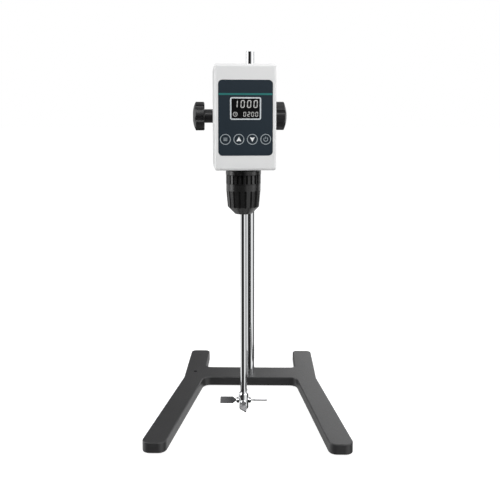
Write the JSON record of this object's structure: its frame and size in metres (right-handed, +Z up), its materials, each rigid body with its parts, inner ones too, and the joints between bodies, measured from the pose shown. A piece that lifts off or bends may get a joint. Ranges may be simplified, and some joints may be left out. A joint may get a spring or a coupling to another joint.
{
  "type": "overhead stirrer",
  "caption": "Laboratory overhead stirrer: a geared motor head with a display, keys and a hollow-spindle chuck, clamped to a column on an open-fronted base, driving a propeller shaft.",
  "frame": {"origin": "plan centre of the base plate, on the bench under its feet", "axes": "+Z up along the column; -Y is the front, the way the display looks and the base is open; +X is the user's right"},
  "size_m": [0.2414, 0.296, 0.474],
  "materials": {
    "powder_grey": "fine-textured dark grey powder coat on steel plate",
    "foot_rubber": "plain black rubber",
    "polished_steel": "polished stainless steel",
    "dark_steel": "black-oxide steel",
    "bush_plastic": "slit black nylon bush",
    "clamp_black": "black coated casting",
    "knob_plastic": "satin black moulded plastic",
    "zinc_steel": "zinc-plated steel",
    "satin_aluminium": "turned and milled aluminium",
    "shell_white": "satin white moulded plastic",
    "jack_black": "black moulded plastic",
    "panel_film": "satin dark slate-blue printed film with a teal stripe",
    "bezel_grey": "pale grey printed frame",
    "display_glass": "black display window",
    "module_black": "black moulded plastic",
    "board_green": "green circuit board",
    "key_film": "dark film key with a pale ring and sign",
    "bearing_steel": "ground bearing steel",
    "gear_plastic": "natural acetal",
    "chuck_black": "black moulded plastic with fine grain",
    "blade_steel": "brushed stainless steel sheet"
  },
  "bodies": {
    "stand": {"base_plate": "powder_grey", "rubber_feet": "foot_rubber", "column": "polished_steel", "column_bolt": "dark_steel"},
    "height_bush": {"column_bush": "bush_plastic"},
    "clamp": {"clamp_block": "clamp_black"},
    "column_handle": {"column_knob": "knob_plastic", "column_stud": "zinc_steel"},
    "arm_handle": {"arm_knob": "knob_plastic", "arm_stud": "zinc_steel"},
    "tilt_bush": {"arm_bush": "bush_plastic"},
    "head": {"support_arm": "polished_steel", "arm_flange": "satin_aluminium", "arm_screws": "dark_steel", "arm_nut": "zinc_steel", "front_shell": "shell_white", "rear_shell": "shell_white", "case_screws": "zinc_steel", "power_jack": "jack_black", "panel_overlay": "panel_film", "display_bezel": "bezel_grey", "display_window": "display_glass", "display_module": "module_black", "control_board": "board_green", "board_screws": "zinc_steel", "tact_switches": "module_black", "bearing_block": "satin_aluminium", "lower_bearing": "bearing_steel", "upper_bearing": "bearing_steel", "motor_plate": "satin_aluminium", "motor_posts": "zinc_steel", "plate_screws": "zinc_steel", "motor_can": "zinc_steel", "motor_stator": "bearing_steel"},
    "mode_key": {"key_mode": "key_film"},
    "up_key": {"key_up": "key_film"},
    "down_key": {"key_down": "key_film"},
    "run_key": {"key_run": "key_film"},
    "drive_spindle": {"spindle": "bearing_steel", "spindle_gear": "gear_plastic", "retaining_ring": "dark_steel", "lower_bearing_race": "bearing_steel", "upper_bearing_race": "bearing_steel", "chuck_collar": "chuck_black", "chuck_ring": "chuck_black", "chuck_body": "dark_steel"},
    "motor_shaft": {"motor_rotor": "bearing_steel", "motor_pinion": "bearing_steel"},
    "chuck_grip": {"chuck_sleeve": "chuck_black", "chuck_nut": "dark_steel"},
    "jaw_1": {"chuck_jaw_1": "dark_steel"},
    "jaw_2": {"chuck_jaw_2": "dark_steel"},
    "jaw_3": {"chuck_jaw_3": "dark_steel"},
    "stirrer": {"stirring_shaft": "polished_steel", "propeller_hub": "polished_steel", "propeller_blades": "blade_steel", "hub_grub_screw": "dark_steel"}
  },
  "joints": [
    {"name": "head_height", "type": "slide", "parent": "stand", "child": "height_bush", "axis": [0, 0, 1], "range_m": [-0.005, 0.07]},
    {"name": "head_swivel", "type": "hinge", "parent": "height_bush", "child": "clamp", "pos_m": [0, 0.061, 0.3845], "axis": [0, 0, 1], "range_deg": [-180, 180]},
    {"name": "column_knob_turn", "type": "hinge", "parent": "clamp", "child": "column_handle", "pos_m": [0.02986, 0.06388, 0.3845], "axis": [0.9954, 0.0958, 0], "range_deg": [0, 360]},
    {"name": "arm_knob_turn", "type": "hinge", "parent": "clamp", "child": "arm_handle", "pos_m": [-0.05475, 0.05573, 0.3845], "axis": [-0.9954, -0.0958, 0], "range_deg": [0, 360]},
    {"name": "head_tilt", "type": "hinge", "parent": "clamp", "child": "tilt_bush", "pos_m": [-0.01891, 0.05918, 0.3845], "axis": [-0.0958, 0.9954, 0], "range_deg": [-90, 90]},
    {"name": "arm_reach", "type": "slide", "parent": "tilt_bush", "child": "head", "axis": [0.0958, -0.9954, 0], "range_m": [-0.04, 0.016]},
    {"name": "mode_press", "type": "slide", "parent": "head", "child": "mode_key", "axis": [-0.0958, 0.9954, 0], "range_m": [0, 0.0005], "stiffness_N_per_m": 400, "springref_m": -0.0005},
    {"name": "up_press", "type": "slide", "parent": "head", "child": "up_key", "axis": [-0.0958, 0.9954, 0], "range_m": [0, 0.0005], "stiffness_N_per_m": 400, "springref_m": -0.0005},
    {"name": "down_press", "type": "slide", "parent": "head", "child": "down_key", "axis": [-0.0958, 0.9954, 0], "range_m": [0, 0.0005], "stiffness_N_per_m": 400, "springref_m": -0.0005},
    {"name": "run_press", "type": "slide", "parent": "head", "child": "run_key", "axis": [-0.0958, 0.9954, 0], "range_m": [0, 0.0005], "stiffness_N_per_m": 400, "springref_m": -0.0005},
    {"name": "spindle_spin", "type": "hinge", "parent": "head", "child": "drive_spindle", "pos_m": [-0.00597, -0.0752, 0.33], "axis": [0, 0, 1], "continuous": true},
    {"name": "motor_spin", "type": "hinge", "parent": "head", "child": "motor_shaft", "pos_m": [-0.00827, -0.05131, 0.39], "axis": [0, 0, 1], "continuous": true},
    {"name": "chuck_grip_turn", "type": "hinge", "parent": "drive_spindle", "child": "chuck_grip", "pos_m": [-0.00597, -0.0752, 0.285], "axis": [0, 0, 1], "range_deg": [0, 720]},
    {"name": "jaw_1_slide", "type": "slide", "parent": "drive_spindle", "child": "jaw_1", "axis": [-0.0199, 0.207, 0.9781], "range_m": [0, 0.004]},
    {"name": "jaw_2_slide", "type": "slide", "parent": "drive_spindle", "child": "jaw_2", "axis": [-0.1693, -0.1207, 0.9781], "range_m": [0, 0.004]},
    {"name": "jaw_3_slide", "type": "slide", "parent": "drive_spindle", "child": "jaw_3", "axis": [0.1892, -0.0862, 0.9781], "range_m": [0, 0.004]},
    {"name": "shaft_slide", "type": "slide", "parent": "drive_spindle", "child": "stirrer", "axis": [0, 0, 1], "range_m": [0, 0.025]}
  ],
  "couplings": [
    {"joint": "motor_spin", "follows": "spindle_spin", "ratio": -3},
    {"joint": "jaw_1_slide", "follows": "chuck_grip_turn", "m_per_rad": 0.00031831},
    {"joint": "jaw_2_slide", "follows": "chuck_grip_turn", "m_per_rad": 0.00031831},
    {"joint": "jaw_3_slide", "follows": "chuck_grip_turn", "m_per_rad": 0.00031831}
  ]
}
